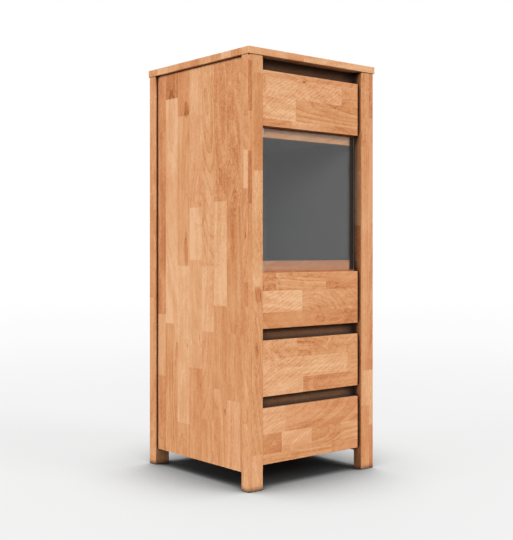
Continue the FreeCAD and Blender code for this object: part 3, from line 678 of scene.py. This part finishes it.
# What a column's last stave runs to: the upper end of the panels and posts, the right post for
# the fronts and the rails between them, and a place past the end of the top board.
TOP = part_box("post_front_left")[1].z
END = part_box("post_front_right")[0].x
TOP_BOARD_END = 0.3

# Glue lines, butt joints and tones follow the photograph where it shows them. First comes the
# left side panel, its columns of staves from the front post to the rear post.
PANEL_CUTS = [-0.193, -0.133, -0.074, -0.017, 0.044, 0.104, 0.166]
PANEL = rows(
    [(0.30, DEEP), (0.71, DEEP), (TOP, MID)],
    [(0.236, PALE), (0.420, MID), (0.768, DEEP), (TOP, DEEP, FLECKED)],
    [(0.262, FAIR), (0.496, DEEP), (0.788, LIGHT), (TOP, DEEP, FLECKED)],
    [(0.169, MID), (0.42, FAIR), (0.607, LIGHT), (TOP, FAIR)],
    [(0.311, DEEP), (0.624, PALE), (0.775, BRIGHT), (TOP, PALE)],
    [(0.144, MID), (0.606, LIGHT), (1.046, FAIR), (TOP, DEEP)],
    [(0.433, MID), (1.103, LIGHT), (TOP, DARK)],
    [(0.090, DEEP), (0.273, DEEP), (0.459, PALE), (1.009, BROWN), (TOP, DEEP)],
)

# The drawer fronts: their glue lines, and their rows from the bottom up, each from the left.
FRONTS = {
    "drawer_1_front": (
        [1.0125, 1.074, 1.131],
        rows([(-0.077, DEEP), (0.035, PALE), (END, DEEP)],
             [(-0.062, LIGHT), (END, MID)],
             [(0.118, LIGHT), (END, FAIR)],
             [(0.005, MID), (END, MID)])),
    "drawer_2_front": (
        [0.4805, 0.540],
        rows([(0.070, DEEP), (0.128, BROWN), (END, BROWN)],
             [(-0.037, LIGHT), (END, FAIR)],
             [(-0.135, DEEP), (0.055, FAIR), (END, DEEP)])),
    "drawer_3_front": (
        [0.2945, 0.352],
        rows([(-0.034, LIGHT), (END, DEEP)],
             [(-0.139, LIGHT), (0.142, LIGHT), (END, FAIR)],
             [(-0.057, PALE), (0.065, MID), (END, FAIR)])),
    "drawer_4_front": (
        [0.092, 0.1475],
        rows([(0.08, MID), (END, DEEP)],
             [(-0.114, BROWN), (-0.001, PALE), (0.114, MID), (END, FAIR)],
             [(-0.100, LIGHT), (END, MID)])),
}

# The posts: their glue lines across and in depth, and the columns of staves that show.
POSTS = {
    "post_front_left": ([-0.230], [-0.2364, -0.2168], {
        (0, 0): [(0.777, MID), (0.918, DARK), (1.026, MID), (1.162, DARK), (TOP, MID)],
        (1, 0): [(0.098, PALE), (0.554, MID), (0.867, PALE), (1.132, DEEP), (TOP, MID)],
        (0, 1): [(0.183, PALE), (0.50, MID), (0.565, BROWN), (0.818, MID), (0.922, BRIGHT),
                 (TOP, MID)],
        (0, 2): [(0.32, MID), (TOP, MID)],
    }),
    "post_front_right": ([0.2225], [-0.2365], {
        (0, 0): [(0.189, DEEP), (0.294, PALE), (0.833, FAIR), (0.959, MID), (TOP, DEEP)],
        (1, 0): [(0.130, BROWN), (0.294, PALE), (0.33, DEEP), (0.733, MID), (1.045, PALE),
                 (TOP, BROWN)],
        (0, 1): [(0.725, BROWN), (0.887, PALE), (TOP, DEEP)],
    }),
    "post_rear_left": ([-0.214], [0.2195], {
        (0, 1): [(0.191, MID), (0.507, MID), (0.820, DEEP), (TOP, FAIR)],
    }),
    "post_rear_right": ([0.220], [0.2200], {}),
}

# The top board, from the front edge to the rear.
TOP_CUTS = [-0.2125, -0.1655, -0.1205, -0.074, -0.019, 0.0265, 0.080, 0.137, 0.194]
TOP_STAVES = rows([(-0.105, PALE), (-0.0443, DEEP), (TOP_BOARD_END, PALE)],
                  DEEP, LIGHT, MID, PALE, DEEP, MID, FAIR, LIGHT)

# The rails above and below the pane: where their two staves meet, and the tones of both.
DISPLAY_RAIL_JOINT = -0.09
# The lower rail's DARK tones are painted shade: they darken it as the shade behind the pane does.
DISPLAY_RAIL_TONES = {"display_top": (DEEP, MID), "display_bottom": (DARK, DARK)}


def build_carcass():
    """The staved panels, posts and rails, and the plain back.

    The rails above and below the pane have the fronts' wood.
    """
    glue_up("side_panel_left", "Z", "Y", PANEL_CUTS, PANEL)
    glue_up("side_panel_right", "Z", "Y")
    glue_up("top_panel", "X", "Y", TOP_CUTS, TOP_STAVES)
    for node, (across, deep, staves) in POSTS.items():
        glue_up(node, "Z", "X", across, staves, second=("Y", deep))
    for rail, (left, right) in DISPLAY_RAIL_TONES.items():
        staves = rows([(DISPLAY_RAIL_JOINT, left), (END, right)])
        glue_up("front_rail_" + rail, "X", "Z", [], staves, wood=FRONT_WOOD)
    for rail in ("top", "middle", "lower"):
        glue_up("front_rail_" + rail, "X", "Z", [], wood=RAIL_WOOD)
    glue_up("bottom_panel", "X", "Y")
    dress(plain_wood("board_Z", "Z", BOARD_COLOURS, contrast=0.7), "back_panel")


def build_drawers():
    """The staved fronts, and the plain boxes, battens and slides behind them."""
    for front, (cuts, staves) in FRONTS.items():
        glue_up(front, "X", "Z", cuts, staves, wood=FRONT_WOOD)
    box_long = plain_wood("box_wood_Y", "Y", BOX_COLOURS, contrast=0.9)
    box_wide = plain_wood("box_wood_X", "X", BOX_COLOURS, contrast=0.9)
    board = plain_wood("board_X", "X", BOARD_COLOURS, contrast=0.7)
    for number in range(1, 5):
        box = f"drawer_{number}_"
        dress(box_long, box + "side_left", box + "side_right")
        dress(box_wide, box + "back")
        dress(board, box + "floor")
        dress(STEEL, box + "slide_inner_members", box + "slide_middle_members")
    dress(box_long, "runner_battens")
    dress(box_wide, "frame_dowels")
    dress(STEEL, "slide_cabinet_members", "slide_screws")


def build_display():
    """The lined compartment, the glass door and its fittings."""
    lined = ("floor", "ceiling", "cheek_left", "cheek_right", "back")
    dress(dark_lining(), *("display_" + part for part in lined))
    dress(clear_glass(), "door_glass")
    fittings = ("pivot_shoes", "pivot_pins", "pivot_brackets", "bracket_screws", "strike")
    dress(NICKEL, *("door_" + part for part in fittings))
    dress(dark_plastic(), "door_edge_strip", "latch_cartridge", "latch_plunger")


def make_camera():
    """The photograph's viewpoint: a level camera, so the uprights stay parallel."""
    focal_pixels, frame_height, principal_above_middle = 965.6, 540.0, 20.15
    place, heading = (-1.8790, -2.2446, 0.6526), -39.70
    camera = bpy.data.cameras.new("camera")
    camera.sensor_width = 36.0
    camera.lens = focal_pixels * camera.sensor_width / frame_height
    camera.shift_y = -principal_above_middle / frame_height
    camera.clip_end = 60.0
    holder = show("camera", camera)
    holder.location = place
    holder.rotation_euler = (math.radians(90), 0, math.radians(heading))
    bpy.context.scene.camera = holder


def soft_sun(name, towards, strength, spread):
    """A far, wide lamp, whose strength of 1 would light a white face that looks at it to white.

    towards points from the cabinet to the lamp, and spread is its width in degrees.
    """
    lamp = bpy.data.lights.new(name, "SUN")
    lamp.energy = strength * math.pi
    lamp.angle = math.radians(spread)
    show(name, lamp).rotation_euler = Vector(towards).to_track_quat("Z", "Y").to_euler()


def make_lights():
    """Four soft lamps that light the front, the side and the top as in the photograph."""
    soft_sun("key_front", (0.45, -1.0, 0.7), 0.70, 24)
    soft_sun("key_side", (-1.0, 0.25, 0.25), 0.63, 24)
    soft_sun("camera_side", (-0.75, -0.9, 0.35), 0.48, 24)
    soft_sun("back", (0.7, 1.0, 0.2), 0.86, 30)


def make_world():
    """White for what the camera, metal and glass see, and a soft fill for the rest."""
    graph = Graph(bpy.data.worlds.new("studio"), "OutputWorld")
    fill = graph.shader("Background", Color=WHITE, Strength=0.10)
    white = graph.shader("Background", Color=WHITE, Strength=1.0)
    bpy.context.scene.world = graph.finish(graph.blend(graph.seen(), fill, white))


def floor_material():
    """A shadow under the cabinet on a floor that passes into white."""
    graph = new_material("floor")
    x, y, _ = graph.split(graph.place())
    distance = graph.length(x, y)
    # contact is a painted shadow under the cabinet: the floor's glow and its colour darken where
    # ambient occlusion finds the cabinet over it.
    contact = graph.remap(graph.openness(reach=0.45, samples=16), 0.22, 0.96)
    # A painted shade that greys the floor near the cabinet and fades out far away.
    painted_floor_shade = graph.math("DIVIDE", graph.remap(distance, 4.5, 11.0, 0.062, 0.0),
                      graph.math("SQRT", distance))
    whiteness = graph.math("MULTIPLY", contact, graph.math("SUBTRACT", 1.0, painted_floor_shade))
    backdrop = graph.shader("Emission", Color=whiteness, Strength=1.0)
    lit = graph.shader("BsdfDiffuse", Color=graph.math("MULTIPLY_ADD", contact, 0.42, 0.26))
    shown = graph.blend(graph.remap(distance, 1.0, 5.0, 0.85, 1.0), lit, backdrop)
    bounce = graph.shader("BsdfDiffuse", Color=FLOOR_BOUNCE)
    return graph.finish(graph.blend(graph.seen(), bounce, shown))


def make_floor():
    """A pale disc that reaches past the camera."""
    mesh = bmesh.new()
    bmesh.ops.create_circle(mesh, cap_ends=True, segments=96, radius=12.0)
    data = bpy.data.meshes.new("floor")
    mesh.to_mesh(data)
    mesh.free()
    data.materials.append(floor_material())
    floor = show("floor", data)


build_carcass()
build_drawers()
build_display()
make_camera()
make_lights()
make_world()
make_floor()
bpy.context.scene.view_settings.view_transform = "Standard"
